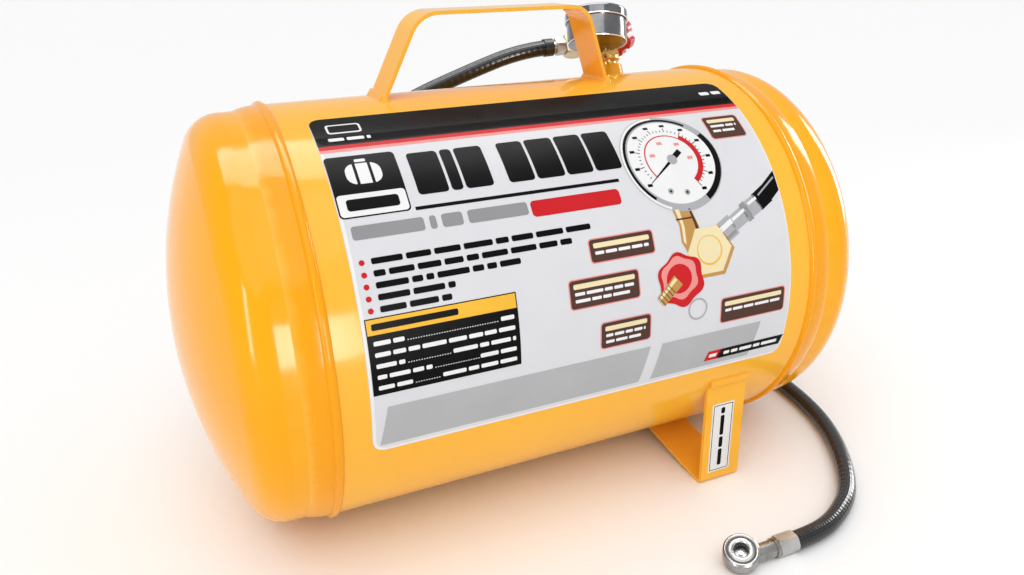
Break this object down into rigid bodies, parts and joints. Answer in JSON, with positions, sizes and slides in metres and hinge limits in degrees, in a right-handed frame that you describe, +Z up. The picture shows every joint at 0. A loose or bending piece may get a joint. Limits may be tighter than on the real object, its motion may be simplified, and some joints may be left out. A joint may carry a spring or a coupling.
{
  "type": "air receiver tank",
  "caption": "Portable horizontal air receiver tank with carry handle, feet, gauge, shut-off valve with fill stem, relief valve and a whip hose with tyre chuck.",
  "frame": {"origin": "on the floor, under the middle of the tank, cord left out", "axes": "+X along the tank towards the manifold and feet, -Y the labelled front, +Z up"},
  "size_m": [0.4505, 0.3712, 0.304],
  "materials": {
    "yellow_enamel": "gloss enamel",
    "printed_label": "printed vinyl",
    "white_sticker": "printed vinyl",
    "brass": "machined",
    "nickel_plate": "nickel plated",
    "bright_steel": "drawn",
    "black_steel": "black enamel",
    "chromed_steel": "polished",
    "clear_window": "clear",
    "red_plastic": "moulded",
    "black_rubber": "reinforced hose"
  },
  "bodies": {
    "tank": {"tank_shell": "yellow_enamel", "left_head": "yellow_enamel", "right_head": "yellow_enamel", "left_seam_weld": "yellow_enamel", "right_seam_weld": "yellow_enamel", "longitudinal_weld": "yellow_enamel", "handle": "yellow_enamel", "handle_welds": "yellow_enamel", "front_foot": "yellow_enamel", "rear_foot": "yellow_enamel", "foot_welds": "yellow_enamel", "outlet_bung": "yellow_enamel", "bung_weld": "yellow_enamel", "front_label": "printed_label", "foot_sticker": "white_sticker", "manifold_body": "brass", "outlet_hex": "nickel_plate", "gauge_socket": "brass", "gauge_case": "black_steel", "gauge_bezel": "chromed_steel", "gauge_lens": "clear_window", "gauge_dial": "printed_label", "movement_plate": "brass", "bourdon_tube": "brass", "dial_screws": "bright_steel", "valve_bonnet": "brass", "relief_body": "brass", "relief_spring": "bright_steel", "hose_fitting": "nickel_plate", "hose_ferrule": "black_steel", "air_hose": "black_rubber", "chuck_ferrule": "nickel_plate", "chuck_fitting": "nickel_plate", "chuck_body": "nickel_plate", "chuck_seal": "black_rubber", "chuck_spring": "bright_steel"},
    "knob": {"shutoff_knob": "red_plastic", "valve_spindle": "nickel_plate", "fill_stem": "brass", "valve_core": "brass", "valve_core_spring": "bright_steel"},
    "plug": {"valve_plug": "brass"},
    "pointer": {"gauge_pointer": "black_steel", "pointer_arbor": "nickel_plate"},
    "sector": {"sector_gear": "brass"},
    "core_pin": {"valve_core_pin": "bright_steel"},
    "relief_stem": {"relief_stem": "bright_steel"},
    "pull_ring": {"pull_ring": "bright_steel"},
    "chuck_pin": {"chuck_pin": "bright_steel"}
  },
  "joints": [
    {"name": "knob_turn", "type": "hinge", "parent": "tank", "child": "knob", "pos_m": [0.1125, 0.07272, 0.2687], "axis": [0.8409, 0.4898, 0.2305], "range_deg": [0, 540]},
    {"name": "plug_lift", "type": "slide", "parent": "tank", "child": "plug", "axis": [0.8409, 0.4898, 0.2305], "range_m": [0, 0.002]},
    {"name": "pointer_turn", "type": "hinge", "parent": "tank", "child": "pointer", "pos_m": [0.09013, 0.04439, 0.28346], "axis": [-0.1422, -0.3664, -0.9195], "range_deg": [0, 270]},
    {"name": "sector_swing", "type": "hinge", "parent": "tank", "child": "sector", "pos_m": [0.08611, 0.0393, 0.2861], "axis": [-0.1422, -0.3664, -0.9195], "range_deg": [-65.6, 0], "stiffness_Nm_per_rad": 0.0085},
    {"name": "core_pin_push", "type": "slide", "parent": "knob", "child": "core_pin", "axis": [0.8409, 0.4898, 0.2305], "range_m": [-0.001, 0], "stiffness_N_per_m": 400, "springref_m": 0.003, "deforming": ["valve_core_spring"]},
    {"name": "relief_lift", "type": "slide", "parent": "tank", "child": "relief_stem", "axis": [0.2517, 0.8585, -0.4469], "range_m": [0, 0.002], "stiffness_N_per_m": 2000, "springref_m": -0.004, "deforming": ["relief_spring"]},
    {"name": "ring_swing", "type": "hinge", "parent": "relief_stem", "child": "pull_ring", "pos_m": [0.11995, 0.09467, 0.24882], "axis": [0.9678, -0.2233, 0.1162], "range_deg": [-40, 110]},
    {"name": "chuck_pin_push", "type": "slide", "parent": "tank", "child": "chuck_pin", "axis": [-0.294, -0.325, 0.8989], "range_m": [-0.0018, 0], "stiffness_N_per_m": 500, "springref_m": 0.004, "deforming": ["chuck_spring"]}
  ],
  "couplings": [
    {"joint": "plug_lift", "follows": "knob_turn", "m_per_rad": 0.00019894},
    {"joint": "pointer_turn", "follows": "sector_swing", "ratio": -4.1154}
  ]
}
